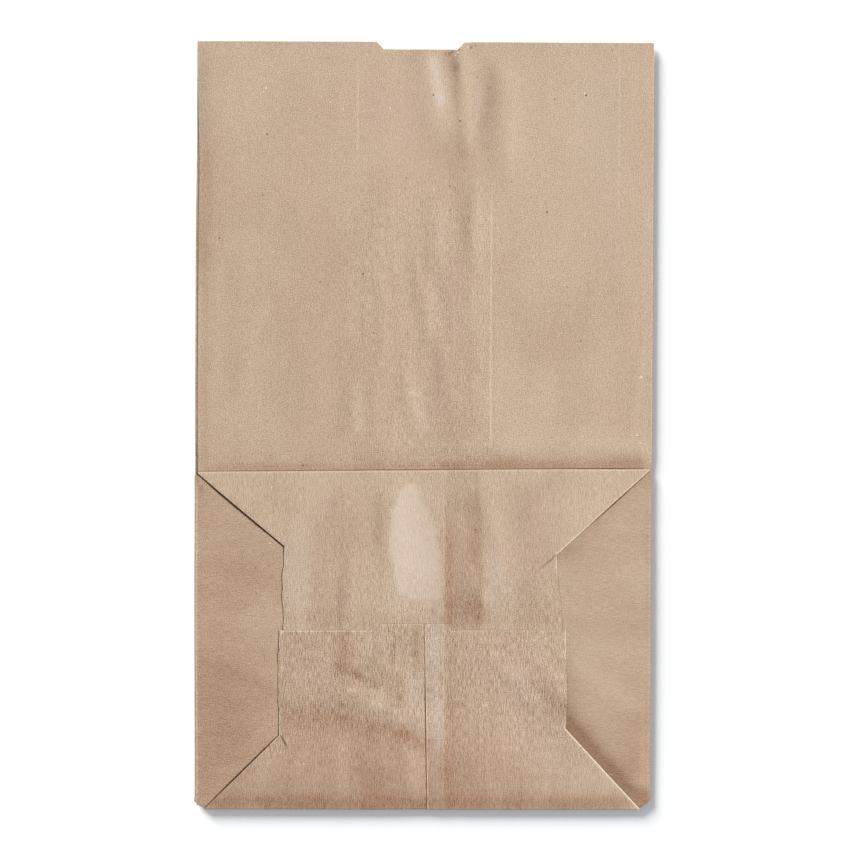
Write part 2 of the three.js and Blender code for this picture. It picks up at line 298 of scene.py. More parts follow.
class Sheet:
    def __init__(self):
        self.index = {}
        self.points = []
        self.normals = []
        self.looks = []
        self.faces = []

    def vertex(self, point, normal, look):
        key = (round(point.x, 4), round(point.y, 4), round(point.z, 4))
        if key not in self.index:
            self.index[key] = len(self.points)
            self.points.append(point)
            self.normals.append(normal)
            self.looks.append(look)
        return self.index[key]

    def face(self, loop):
        loop = [c for i, c in enumerate(loop) if c != loop[(i + 1) % len(loop)]]
        if len(loop) < 3:
            return
        a, b, c = (self.points[i] for i in loop[:3])
        facing = (b - a).cross(c - a)
        if facing.dot(self.normals[loop[0]]) < 0:
            loop.reverse()
        self.faces.append(loop)

    def on_ply(self, ply, x, v):
        normal = Vector((0, 0, 1 if ply.up else -1))
        return self.vertex(ply.at(x, v), normal, ply.look(x, v))

    def ply(self, ply, xs, low, high):
        """fills the ply between the lines low(x) and high(x)"""
        before = None
        for x in sorted(xs):
            full = abs(abs(x) - SIDE_X) < NEAR
            coarse, covered = (0, -1.0) if full else (ply.coarse, ply.covered)
            vs = column(low(x), high(x), coarse, covered)
            now = [(v, self.on_ply(ply, x, v)) for v in vs]
            if before:
                self.zip(before, now)
            before = now

    def zip(self, a, b):
        """joins two neighbouring columns of vertices"""
        i = j = 0
        while i < len(a) - 1 or j < len(b) - 1:
            up_a = a[i + 1][0] if i < len(a) - 1 else math.inf
            up_b = b[j + 1][0] if j < len(b) - 1 else math.inf
            # neighbours at about the same v are joined by a face with four corners
            level = abs(up_a - up_b) < 0.9 and abs(a[i][0] - b[j][0]) < 2.2
            last = i == len(a) - 2 and j == len(b) - 2
            if level or last:
                self.face([a[i][1], b[j][1], b[j + 1][1], a[i + 1][1]])
                i, j = i + 1, j + 1
            elif up_a < up_b:
                self.face([a[i][1], b[j][1], a[i + 1][1]])
                i += 1
            else:
                self.face([a[i][1], b[j][1], b[j + 1][1]])
                j += 1

    def fold(self, points, lower, upper, outward, outside_in):
        """a half tube from one ply up to the next along plan points that both have"""
        away = Vector((*outward, 0)).normalized()
        before = None
        for x, v in points:
            a, b = lower.at(x, v), upper.at(x, v)
            radius = (b.z - a.z) / 2
            blank_a, blank_b = lower.blank(x, v), upper.blank(x, v)
            _, *above = upper.look(x, v)
            row = []
            for k in range(BEND_STEPS + 1):
                turn = math.pi * k / BEND_STEPS
                rise = (1 - math.cos(turn)) / 2
                out = 0.0 if k in (0, BEND_STEPS) else math.sin(turn)
                point = a.lerp(b, rise) + away * radius * out
                normal = away * out - Vector((0, 0, math.cos(turn)))
                if outside_in:
                    normal.negate()
                blank = (*(mix(p, q, rise) for p, q in zip(blank_a, blank_b)), 0.0)
                row.append(self.vertex(point, normal, (blank, *above)))
            if before:
                for k in range(BEND_STEPS):
                    self.face([before[k], row[k], row[k + 1], before[k + 1]])
            before = row


def always(value):
    return lambda *_: value


def upright(x, low, high):
    return [(x, v) for v in column(low, high, 0)]


# Where each ply lies on the unfolded blank

BLANK = {
    "front": lambda x, v: (x, v),
    "tucked front": lambda x, v: (x, DEPTH - v),
    "upper flap": lambda x, v: (x, v - DEPTH),
    "back left": lambda x, v: (-(WIDTH + DEPTH + x), v),
    "back right": lambda x, v: (WIDTH + DEPTH - x, v),
    "lower left": lambda x, v: (-(WIDTH + DEPTH + x), -v),
    "lower right": lambda x, v: (WIDTH + DEPTH - x, -v),
    "gusset front": lambda x, v: (side_of(x) * (WIDTH - abs(x)), v),
    "gusset back": lambda x, v: (side_of(x) * (DEPTH + abs(x)), v),
    "tucked gusset": lambda x, v: (side_of(x) * (WIDTH - abs(x)), DEPTH - v),
    "end panel": lambda x, v: (side_of(x) * (HALF_WIDTH + DEPTH - v), HALF_WIDTH - abs(x)),
    "side flap": lambda x, v: (side_of(x) * (HALF_WIDTH + DEPTH - v), abs(x) - HALF_WIDTH),
}


def blank_strip(x, v):
    across = HALF_WIDTH + DEPTH + v if v < DEPTH / 2 else HALF_WIDTH - DEPTH + v
    return side_of(x) * across, abs(x) - HALF_WIDTH


# Edges that a ply lies under


def slant_offs(x, v):
    """distances outside the two slanting edges of this side, and past the slits"""
    side = side_of(x)
    return LOWER[side].place(abs(x), v)[1], UPPER[side].place(abs(x), v)[1]


def tongue_edge(side, v):
    """how far out the tongues' cut edges are at v"""
    edges, shift = (UPPER, upper_shift) if v > FLAP_END else (LOWER, lower_shift)
    end_x = edges[side].end[0]
    return end_x + side * shift(side * end_x, v)[0]


def lower_end(x):
    return cut_edge(x, FLAP_END, TAB, 1) + TONGUE_SKEW * x


def cut_edge(x, edge_v, cut, direction):
    share = (cut["width"] / 2 - abs(x - cut["centre"])) / ((cut["width"] - cut["floor"]) / 2)
    return edge_v + direction * cut["depth"] * clamp(share)


# The waves and creases of the paper
# Strokes run from (x0, v0) to (x1, v1) with a width and a rise.

WALL_RIDGES = [
    (-0.6, 352, 3.2, 319, 6.5, 0.75), (15.9, 352, 18.9, 303, 3.2, 0.5),
    (35.5, 338, 37.5, 296, 6, 0.75), (23.2, 280, 21.5, 255, 4.2, 0.6), (3.5, 280, 5.5, 253, 4.5, 0.4),
    (-3.5, 249, 2.2, 218, 3.2, 0.45), (-26, 249, -16, 232, 2.8, 0.28),
    (-8.5, 196, -3.5, 176, 4.2, 0.42), (7.5, 214, 13, 186, 4.2, 0.42), (-34, 193, -33, 175, 3.6, 0.28),
    (20, 240, 24, 205, 4, 0.3), (98.5, 205, 95.5, 175, 2.2, 0.28),
]
UPPER_RIDGES = [
    (-33.6, 117, -34.4, 86, 2.6, 0.24), (-13, 146, -15, 104, 6, 0.4), (31.8, 131, 35, 113, 3.6, 0.4),
    (20, 112, 27, 96, 3, 0.25), (50, 105, 60.5, 115.5, 2, 0.22), (-52, 120, -50, 92, 6, 0.25),
]
LOWER_RIDGES = [
    (-38, 54.5, 0, 40.5, 5.4, 0.8), (-33, 75, -12, 61.5, 3.6, 0.42), (-63, 52, -38, 50.5, 5.2, 0.3),
    (-9, 30, -6, 11, 4, 0.45), (53.5, 66, 67, 49.5, 3.6, 0.55), (35, 65.5, 50, 52, 4.6, 0.4),
    (25.5, 76, 45, 60, 4.6, 0.28), (58.5, 50.5, 65, 38, 1.9, 0.22), (-33.2, 80, -34.2, 58, 2.6, 0.28),
    (-40, 28, -38, 10, 5, 0.25),
]
RIGHT_SIDE_RIDGES = [(69, 66, 100, 42, 4.6, 0.32)]
LEFT_SIDE_RIDGES = [(-100, 72, -66, 59, 4.6, 0.20), (-103, 62, -78, 50, 2.6, 0.12)]


def tilt(v):
    return TILT_RISE * (v - MIDDLE_V) / MIDDLE_V


def sag(x, steps):
    """how far a ply sinks between the side flaps, where nothing holds it up"""
    if abs(x) >= SAG_HALF:
        return 0.0
    return steps * LOOSE_STEP * (1 + math.cos(math.pi * x / SAG_HALF)) / 2


def front_relief(x, v):
    """rises of the front wall above its flat form"""
    h = 0.28 * waves(x, v, 34, 90, 1) + 0.08 * waves(x, v, 9, 60, 2)
    cockle = stretch(x, -36, 33, 6) * stretch(v, 170, 290, 20)
    h += cockle * 0.16 * waves(x, v, 5.5, 26, 7)
    h += streaks(WALL_RIDGES, x, v)
    right = ease(-60, 40, x)
    h += (0.12 + 0.50 * right) * hill(v, 164.5, 6.0)
    fade = ease(0, 5, SIDE_X - abs(x))
    return h * fade * ease(DEPTH - 2, DEPTH + 3, v)


def front_shift(x, v):
    """the front half of the left side fold lies a little further in than the back half"""
    inset = 1.1 * ease(345, 290, v) * ease(-88, -SIDE_X, x)
    torn = ease(346, LENGTH, v) * stretch(x, 13.5, 20, 1.5) * (0.5 * cloud(x, v, 1.3, 9, 17) - 0.35)
    return inset, torn


def flap_edge_rise(edge, x, v, at_middle, at_end):
    """how far a slanting edge stands off the side flap, in its middle and at its inner end"""
    along, off = edge.place(abs(x), v)
    middle = stretch(along, 9, edge.span - 7, 7)
    end = ease(edge.span - 16, edge.span - 4, along)
    return mix(at_middle * middle, at_end, end) * hill(min(off, 0), 0, 8)


def upper_relief(x, v):
    h = 0.12 * waves(x, v, 13, 45, 3) + 0.18 * waves(x, v, 40, 60, 4)
    rises = (0.42, 0.14) if x < 0 else (0.28, 0.2)
    h += flap_edge_rise(UPPER[side_of(x)], x, v, *rises) * ease(76, 112, v)
    h += 0.09 * (1 - ease(9.2, 9.9, x)) * ease(-12, -4, x) * ease(84, 92, v)
    return h + streaks(UPPER_RIDGES, x, v)


def lower_relief(x, v):
    h = 0.30 * waves(x, v, 17, 24, 5) + 0.14 * waves(x, v, 7, 22, 6)
    rises = (0.36, 0.14) if x < 0 else (0.62, 0.45)
    h += flap_edge_rise(LOWER[side_of(x)], x, v, *rises) * ease(70, 40, v)
    h += 0.09 * (1 - ease(9.2, 9.9, x)) * ease(2, 5, x)
    h += 0.40 * hill(v, 12, 8) * ease(95, 70, abs(x))
    h += streaks(LOWER_RIDGES, x, v)
    return h * ease(BOTTOM_V - 0.5, BOTTOM_V + 4, v)


def overlap_relief(x, v):
    """relief that the pasted ends of the two flaps share, flatter along the left slits"""
    h = mix(lower_relief(x, v), upper_relief(x, v), ease(60, 96, v))
    return h * (1 - 0.85 * hill(x, -65.5, 7) * stretch(v, 36, 118, 5))


def side_relief(x, v):
    side = side_of(x)
    edge = LOWER[side]
    along, off = edge.place(abs(x), v)
    h = 0.14 * waves(x, v, 20, 20, 8)
    if side > 0:
        bulge = ease(0.3, 7.6, off) * (1 - 0.8 * ease(8, 30, off))
        h += 1.30 * bulge * stretch(along, 7, edge.span + 8, 8)
        h += 0.12 * hill(off, 15.5, 1.6) * stretch(along, 3, 22, 6)
        h += streaks(RIGHT_SIDE_RIDGES, x, v)
    else:
        h += 0.35 * hill(off, 9, 5) * stretch(along, 10, edge.span, 8)
        h += streaks(LEFT_SIDE_RIDGES, x, v)
    covered = ease(-1.0, 1.5, off) * ease(-1.0, 1.5, UPPER[side].place(abs(x), v)[1])
    inside = ease(edge.end[0] - 1, edge.end[0] + 4, abs(x))
    return h * covered * inside * ease(0, 5, SIDE_X - abs(x))


def ragged(v, seed):
    return 0.42 * cloud(0, v, 50, 3.4, seed) + 0.22 * cloud(0, v, 50, 1.2, seed + 1)


def upper_shift(x, v):
    """the knife's uneven cut beside the upper tongue"""
    near_right = ease(48, UPPER[1].end[0], x)
    near_left = ease(-50, -UPPER[-1].end[0], x)
    below = 1 - ease(UPPER[1].end[1] - 3, UPPER[1].end[1] + 1, v)
    dx = near_right * below * (2.7 * ease(114, 86, v) + ragged(v, 11))
    dx += near_left * (1 - ease(112, 118, v)) * (1.6 * ragged(v, 12) - 0.9 * hill(v, 100, 12))
    return dx, 0.0


def lower_shift(x, v):
    near_right = ease(50, LOWER[1].end[0], x)
    near_left = ease(-52, -LOWER[-1].end[0], x)
    above = ease(LOWER[1].end[1] - 1, LOWER[1].end[1] + 4, v)
    dx = near_right * above * (0.8 * hill(v, 55, 14) + 0.7 * ragged(v, 14))
    dx += near_left * ease(34, 39, v) * (0.9 * ragged(v, 15) - 0.4 * hill(v, 62, 16))
    dx += (0.9 - 0.018 * v) * hill(x, SEAM_EDGE, 5)
    return dx, TONGUE_SKEW * x * ease(60, 80, v)


def settle(x, v):
    """small departures from true that all plies share: a skew bottom fold and rounded corners"""
    dv = -0.0028 * (HALF_WIDTH - x) * (1 - ease(0, 90, v))
    corner = hill(abs(x), 103.0, 2.6) * hill(v, 2.0, 2.6) * (0.75 if x < 0 else 0.35)
    left, right = ease(-60, -HALF_WIDTH, x), ease(60, HALF_WIDTH, x)
    dx = left * (0.4 * (1 - ease(0, 110, v)) - 0.36 * stretch(v, 168, 285, 24))
    dx += right * (0.12 + 0.22 * ease(240, 350, v)) * ease(160, 180, v)
    return dx + side_of(x) * corner, dv - corner


def pressed(x, v):
    """how tightly the plies are pressed together along the side folds"""
    left = 0.42 * ease(-78, -104, x) * ease(160, 185, v)
    right = ease(62, 104, x) * mix(0.10, 0.66, v / 135) * (1 - ease(156.5, 165, v))
    return 1 - left - right


# Marks on the paper, and painted shade and highlights
# Each gives how dark, pale, rusty and pinkish the paper is. Some dark and rusty strokes are painted
# shade where waves, creases and folds turn from the light, and some pale ones are painted highlights
# where they face it. Strokes are as above, with an amount.

WALL_DARK = [
    (-55, 250, -55, 170, 42, 0.24), (-101.3, 344, -100.5, 160, 4, 0.24), (-88, 300, -88, 165, 12, 0.1),
    # the strokes from here up to the one that ends at (29.5, 297.4) are painted shade under the notch
    # and on the sides of the ridges beside it that face away from the light
    (10.4, 348.9, 13.7, 341.1, 2.8, 0.75), (13.7, 341.1, 14.2, 330, 1.7, 0.5),
    (14.2, 330, 13.8, 322.7, 1.4, 0.3), (30.3, 341.1, 30.8, 325.5, 3, 0.26),
    (30.8, 325.5, 29.9, 314.9, 5, 0.26), (28.5, 318.1, 28.6, 305.7, 3.2, 0.28),
    (28.6, 305.7, 29.5, 297.4, 1.6, 0.22), (8.8, 304.2, 17.1, 303.4, 8, 0.3),
    (13.9, 296.4, 17.6, 285, 5.5, 0.22), (18.6, 277.6, 19.1, 258.3, 3.2, 0.28),
    (17.7, 272.1, 17.7, 264.3, 1.6, 0.2), (-0.2, 252.7, 5.4, 241.2, 2.6, 0.25),
    (37.1, 252.8, 39.5, 234.5, 6, 0.12), (16, 248, 18, 176, 10, 0.14), (5, 172, 30, 172, 8, 0.22),
    # the strokes along v 157 to 162 are painted shade on the wall just above the top fold of the
    # folded-up bottom
    (-100, 157.2, 9, 157.8, 1.2, 0.24), (-30, 162, 40, 162, 5, 0.2), (-104, 340, -104, 240, 2.5, 0.22),
    (-95, 161, -45, 161, 4, 0.12), (10, 158, 100, 158.6, 1.9, 0.55), (20, 161.5, 100, 161.5, 3, 0.22),
    (50, 215, 80, 235, 18, 0.12),
]
WALL_PALE = [
    # the strokes on this line and the next two are painted highlights on the sides of the ridges by
    # the notch that face the light
    (3.6, 343.8, 7.3, 326.3, 3, 0.95), (7.3, 326.3, 6.9, 320.3, 2.2, 0.45),
    (16, 347.1, 17.4, 337.9, 1.2, 0.3), (22, 342.5, 23.4, 324.1, 3, 0.22),
    (25.7, 333.3, 23.9, 318.1, 1, 0.32), (23.9, 318.1, 20.7, 308.9, 1, 0.25),
    (9.4, 274.8, 7.2, 260.5, 4, 0.25), (80, 330, 90, 250, 18, 0.16), (75, 172, 96, 167, 4, 0.22),
    (-4, 192, -1, 176, 3, 0.35), (-31, 192, -30, 176, 2.4, 0.25), (4, 246, 7, 222, 2, 0.35),
    (-104.6, 236, -104.6, 166, 1.2, 0.4), (40, 300, 60, 250, 16, 0.1),
]
WALL_RUST_AND_SHADE = [
    # the strokes along v 157 to 159 are painted shade, in a rusty tone, just above the top fold of the
    # folded-up bottom
    (14, 300, 14, 180, 9, 0.12), (8, 158.2, 40, 158.9, 2.4, 0.85), (40, 158.6, 100, 159, 2, 0.6),
    (-100, 156.8, 5, 158.4, 1.6, 0.5), (-102, 300, -102, 160, 4, 0.35), (-20, 240, 25, 180, 16, 0.12),
]
WALL_PINK = [
    (-16, 324, -9, 299, 13, 0.8), (-30, 330, 0, 330, 10, 0.3), (13, 248, 16, 176, 13, 0.42),
]

UPPER_DARK = [
    (-39.2, 139.8, -35.9, 123.7, 6.5, 0.32), (-20.4, 142.2, -21.2, 122.9, 2.6, 0.5),
    (-47.5, 130, -47, 86, 3.6, 0.24), (-34.5, 116.8, -34.4, 89.2, 13, 0.26),
    # the second stroke here is painted shade on the side of the ridge near x 33 that faces away from
    # the light
    (-38.1, 106.7, -38, 81.4, 1.2, 0.42), (21.1, 122.6, 28.6, 104.2, 1.6, 0.3),
    (19.9, 97.3, 26.3, 90, 4, 0.42), (46, 145, 56, 115, 9, 0.28), (40, 100, 46, 90, 8, 0.2),
    (-60, 87, 60, 87, 6, 0.18), (-95, 150, -30, 128, 16, 0.1), (40, 130, 60, 92, 12, 0.12),
    (60, 149, 90, 149, 6, 0.14), (48, 100, 56, 96, 8, 0.2), (-70, 140, -50, 125, 14, 0.12),
]
PALE_PATCH = [
    (-7.6, 150.4, -5.4), (-10.4, 146.8, -1.6), (-14.3, 133, 4.1), (-15.2, 116, 7.8),
    (-11.4, 100.8, 9.3), (-5, 96, 9.3),
]
UPPER_PALE = [
    (-56.9, 132.8, -56.4, 84.5, 4.6, 0.46), (16.6, 114.7, 23.5, 101.9, 2, 0.42),
    # the strokes on this line and the first on the next are painted highlights on the side of that
    # ridge which faces the light
    (30.8, 115.7, 39.6, 100.1, 3.4, 0.5), (28.6, 100.1, 35.1, 95.1, 2.6, 0.35),
    (30, 91.8, 37, 82.6, 4, 0.22), (-12.8, 95, 5.7, 87, 7, 0.36), (60, 140, 85, 150, 8, 0.12),
]
UPPER_RUST = [
    (12.4, 132, 12.4, 86, 2, 0.85), (14, 100, 25, 90, 5, 0.22), (-60, 86, 60, 86, 5, 0.2),
]
UPPER_PINK = [
    (36, 121, 38, 104, 6, 0.8), (52, 142, 52, 108, 10, 0.6), (-44, 140, -40, 100, 12, 0.5),
]

LOWER_DARK = [
    (-39.3, 66.7, -30.6, 62.1, 2.2, 0.7), (-30.6, 62.1, -20.9, 57.1, 1.8, 1.1),
    (-37.5, 63.9, -37.4, 46.4, 2.6, 0.3), (-10.8, 59.4, -10.3, 49.3, 2.2, 0.5),
    (-3.1, 81.1, -3.4, 61.8, 1.7, 0.5), (-13.2, 81, -13.6, 67.7, 1.2, 0.5),
    (-21.9, 79.6, -22.3, 70, 1.3, 0.45), (-37, 84, -37, 64, 2.2, 0.32),
    # the strokes on this line and the next are painted shade on the side of the long wrinkle that
    # faces away from the light
    (-56.3, 43.1, -37.8, 41.4, 5.5, 0.32), (-37.8, 41.4, -21.7, 37.8, 5.5, 0.46),
    (-21.7, 37.8, -10.2, 35, 4.2, 0.66), (-10.2, 35, 1.3, 29.1, 2.4, 0.95),
    (3.4, 69.6, 9.5, 59.5, 1.5, 0.25), (13.2, 48.2, 13.2, 43.9, 1.3, 0.3),
    (12.9, 6.6, 13.4, 3, 1.5, 0.5), (-80, 14, 10, 14, 17, 0.52), (10, 14, 60, 14, 17, 0.38),
    # the first stroke is painted shade where the flap turns down into the bottom fold, and the second
    # is painted shade on the side of the crease by the right shoulder that faces away from the light
    (-102, 3.4, 92, 2.8, 3.6, 1), (49.5, 59.7, 63.3, 45, 3, 0.6), (-70, 46, -62, 44, 5, 0.25),
    (20, 78, 26, 70, 8, 0.2),
]
LOWER_PALE = [
    # the second stroke is a painted highlight on the crest of the long wrinkle
    (-4.4, 61.8, -1.9, 36.5, 3.8, 0.7), (-20.4, 48.3, -4.7, 38.3, 3, 0.6),
    (-2.3, 24.5, -1.8, 15.3, 2.6, 0.6), (-33.2, 21.6, -10.2, 21.7, 4.5, 0.22),
    (8.1, 49.4, 8.2, 31, 2, 0.7), (6.6, 84.8, 6.7, 66.4, 3, 0.5), (6, 76, 6.4, 8, 3.4, 0.48),
    # the first stroke is a painted highlight on the side of that crease which faces the light
    (40, 64, 50, 54, 5, 0.32), (52, 24, 76, 14, 9, 0.3), (-24, 79, -8, 74, 5, 0.35),
]
LOWER_RUST_AND_SHADE = [
    # the second stroke is painted shade, in a rusty tone, where the flap turns down into the bottom
    # fold
    (-50, 22, 30, 14, 22, 0.45), (-102, 4.5, 95, 3.6, 4.6, 0.55), (-60, 42, 0, 33, 7, 0.4),
    (12.5, 78, 12.5, 8, 3, 0.3), (-36, 80, -30, 60, 6, 0.3),
]
LOWER_PINK = [
    (-56, 73, -42, 50, 12, 0.8), (36, 72, 60, 50, 16, 0.8), (5.6, 78, 6, 9, 3.4, 1.2),
    (22, 34, 62, 30, 14, 0.6),
]


def patch(rows, x, v, soft):
    """1 inside an outline given by rows of (left, v, right) from the top down, 0 outside"""
    for (left_a, top, right_a), (left_b, low, right_b) in zip(rows, rows[1:]):
        if low <= v <= top:
            t = (top - v) / (top - low)
            frayed = 2.4 * cloud(x, v, 5, 8, 61)
            left, right = mix(left_a, left_b, t) + frayed, mix(right_a, right_b, t) + frayed
            return stretch(x, left, min(right, SEAM_END - soft), soft)
    return 0.0


def front_marks(x, v):
    rust = streaks(WALL_RUST_AND_SHADE, x, v)
    dark = 0.05 + 0.03 * ease(20, 60, x) + streaks(WALL_DARK, x, v)
    return dark, streaks(WALL_PALE, x, v), rust, streaks(WALL_PINK, x, v)


def upper_marks(x, v):
    seam_right = ease(SEAM_END, 10.4, x) * (1 - ease(25.9, 29.1, x))
    dark = (0.58 + 0.25 * cloud(x, v, 7, 12, 41)) * seam_right * stretch(v, 85, 142, 7)
    dark += 0.46 * stretch(x, 9.8, 26, 1.0) * ease(132, 144, v)
    pale = streaks(UPPER_PALE, x, v) + 0.95 * patch(PALE_PATCH, x, v, 1.2)
    rust = 0.42 * seam_right * stretch(v, 86, 128, 8) + streaks(UPPER_RUST, x, v)
    return dark + streaks(UPPER_DARK, x, v), pale, rust, streaks(UPPER_PINK, x, v)


def lower_marks(x, v):
    left = 1 - ease(-4, 2, x)
    dark = -0.02 + 0.26 * left + 0.26 * cloud(x, v, 15, 22, 21) + 0.16 * cloud(x, v, 6, 14, 22)
    rust = 0.14 + streaks(LOWER_RUST_AND_SHADE, x, v)
    dark = max(0.0, dark + streaks(LOWER_DARK, x, v) - 0.16 * stretch(x, 2, 9.2, 0.8))
    dark += 0.30 * hill(x, 10.6, 0.9)
    return dark, streaks(LOWER_PALE, x, v), rust, streaks(LOWER_PINK, x, v)


def side_marks(x, v):
    side = side_of(x)
    off, above = slant_offs(x, v)
    if side < 0:
        dark = 0.60 + 0.20 * cloud(x, v, 26, 30, 31) - 0.14 * hill(v, 140, 16)
        dark += streaks([(-96, 50, -96, 8, 14, 0.34), (-102, 66, -68, 53, 4, 0.16)], x, v)
        dark += streaks([(-104.4, 152.6, -101.2, 147.6, 1.1, 0.8)], x, v)
        rust = 0.30 + streaks([(-102, 67, -72, 56, 5, 0.24), (-92, 24, -92, 12, 14, 0.35)], x, v)
        return dark, 0.0, rust, 0.0
    dark = 0.42 + 0.18 * cloud(x, v, 30, 24, 32) + 0.34 * ease(60, 30, v)
    # painted shade on the side flap: a band along the lower slanting fold where the paper turns from
    # the light, and a line and soft band under the upper slanting fold
    dark += (0.85 * hill(off, 2.6, 3.0) + 0.95 * hill(off, 1.4, 1.5)) * (v < 60)
    dark += 0.75 * hill(above, 0.6, 1.1) * hill(abs(x), 89, 13) + 0.22 * hill(above, 3.0, 3.0)
    dark += streaks([(102.6, 9.5, 104.2, 4.5, 3, 0.7), (76, 42, 92, 30, 12, 0.30)], x, v)
    # painted highlights where the bulge and the ridge beside the lower slanting fold face the light
    pale = streaks([(79.4, 46.5, 94.3, 25, 4.5, 0.25), (74, 66, 96, 50, 5, 0.22)], x, v)
    pale += streaks([(98, 16.2, 103.5, 8.4, 1.2, 0.7)], x, v)
    # painted shadow under the inner end of the upper slanting fold
    dark += streaks([(64.4, 119.6, 69.9, 121.4, 3.0, 0.30)], x, v)
    # the rusty tint along the lower slanting fold is part of that painted shade
    rust = 0.10 + 0.5 * hill(off, 2.8, 2.8) * (v < 60) + 0.55 * ease(102.9, 103.6, x)
    return max(0.0, dark), pale, rust, 0.0


def edge_marks(x, v):
    return 0.25, 0.0, 0.25, 0.0


# Fine lines and fibres, with painted shade and highlights along edges
# contact: distance from the edge that lies over the ply, depth of its dark line, width of the line,
# and the strength of the fibres. The dark line is painted shade in the gap beside that edge and on
# the shaded side of folds. rim: distance in from the ply's own edge, strength of a pale line,
# and the strength of the grain. The pale line is torn fibres along cut edges, with a painted
# highlight along edges and folds that face the light.

FAR = 9.0
SHADED_FOLD = 0.18  # the painted shade line at a folded edge starts this far outside it


def front_lines(x, v):
    # the dark line along the top of the folded-up bottom is painted shade on the wall beside it
    under = v - DEPTH - TUCKED_SKEW * x
    strength = 0.78 - 0.30 * ease(80, 102, x)
    fuzz = 0.62 + 0.40 * stretch(x, -36, 33, 8) * ease(300, 270, v)
    grain = 1.42 - 0.35 * stretch(v, 285, 330, 10) * hill(x, 0, 30)
    crease, top, bottom, amount = min(WALL_CREASES, key=lambda c: abs(x - c[0]))
    pale = amount * stretch(v, bottom, top, 4)
    return (under, strength, 0.38, fuzz), (abs(x - crease), pale, grain)


def upper_lines(x, v):
    side = side_of(x)
    _, upper_off = slant_offs(x, v)
    fuzz = 0.92 + 0.35 * ease(125, 85, v) + 0.15 * hill(x, 0, 30)
    fuzz -= 0.45 * patch(PALE_PATCH, x, v, 1.2)
    # dark lines are painted shade: beside the end of the lower tongue, along the crease, and on the
    # shaded side of the left slanting fold. Pale lines are torn fibres, with painted highlights along
    # the right slanting fold, the right cut edge and the top fold, which face the light.
    under, dark, width = v - lower_end(x), 0.22, 0.35
    if x > 48 and 104 < v < UPPER[1].end[1] + 1:
        # the slanting edge goes on as a crease in the tongue
        under, dark, width = -upper_off - 0.2, 0.38 * ease(51, 58, x), 0.26
    if v >= UPPER[side].end[1]:
        middle = hill(x, 84, 7)
        edge, pale = -upper_off, {-1: 0.10, 1: 0.65 - 0.4 * middle}[side]
    else:
        edge, pale = tongue_edge(side, v) - abs(x), {-1: 0.20, 1: 1.1}[side]
    if side < 0 and v >= UPPER[side].end[1] and edge < 4:
        under, dark, width = edge + SHADED_FOLD, 0.95, 0.30
    if DEPTH - v < edge:
        edge, pale = DEPTH - BESIDE - v, 0.10 + 0.25 * ease(60, 104, x)
    return (under, dark, width, fuzz), (edge, pale, min(fuzz, 1.1))


def lower_lines(x, v):
    side = side_of(x)
    lower_off, _ = slant_offs(x, v)
    fuzz = 1.75 - 0.80 * ease(50, 12, v)
    # dark lines are painted shade along the crease from the left shoulder and on the shaded side of
    # the left slanting fold. Pale lines are torn fibres, with painted highlights along the right
    # slanting fold, the right cut edge and the tongue's end, which face the light.
    under, dark, width = FAR, 0.0, 0.3
    if v <= LOWER[side].end[1]:
        edge, pale = -lower_off, {-1: 0.15, 1: 0.85}[side]
        if side < 0:
            # a short crease that runs on from the shoulder
            across = (x + 64.7) * 0.88 + (v - 34.1) * 0.47
            away = math.hypot(x + 63.6, v - 32.2)
            under, dark, width = across, 0.7 * ease(4.6, 2.0, away), 0.24
    else:
        edge, pale = tongue_edge(side, v) - abs(x), {-1: 0.25, 1: 0.95}[side]
    if x < -70 and edge < 4:
        under, dark, width = edge + SHADED_FOLD, 0.80, 0.30
    if lower_end(x) - v < edge:
        edge, pale = lower_end(x) - v, 0.20 if abs(x - TAB["centre"]) < 18 else 0.46
    return (under, dark, width, fuzz), (edge, pale, min(fuzz, 1.1))


def lower_left_lines(x, v):
    contact, rim = lower_lines(x, v)
    if x > -12:
        # painted shade beside the edge of the right part, which lies over this one at the seam
        dark = 0.84 - 0.30 * ease(54, 64, v) - 0.30 * ease(72, 80, v)
        contact = (SEAM_EDGE - x, dark, 0.42 + 0.10 * stretch(v, 25, 60, 8), contact[3])
    return contact, rim


def lower_right_lines(x, v):
    contact, rim = lower_lines(x, v)
    # the pale seam edge is torn fibres with a painted highlight, as it faces the light
    if x - SEAM_EDGE < rim[0]:
        rim = (x - SEAM_EDGE, 0.50, rim[2])
    if abs(x - SEAM_CREASE) < rim[0] and x < 12:
        rim = (abs(x - SEAM_CREASE), 0.06, rim[2])
    return contact, rim


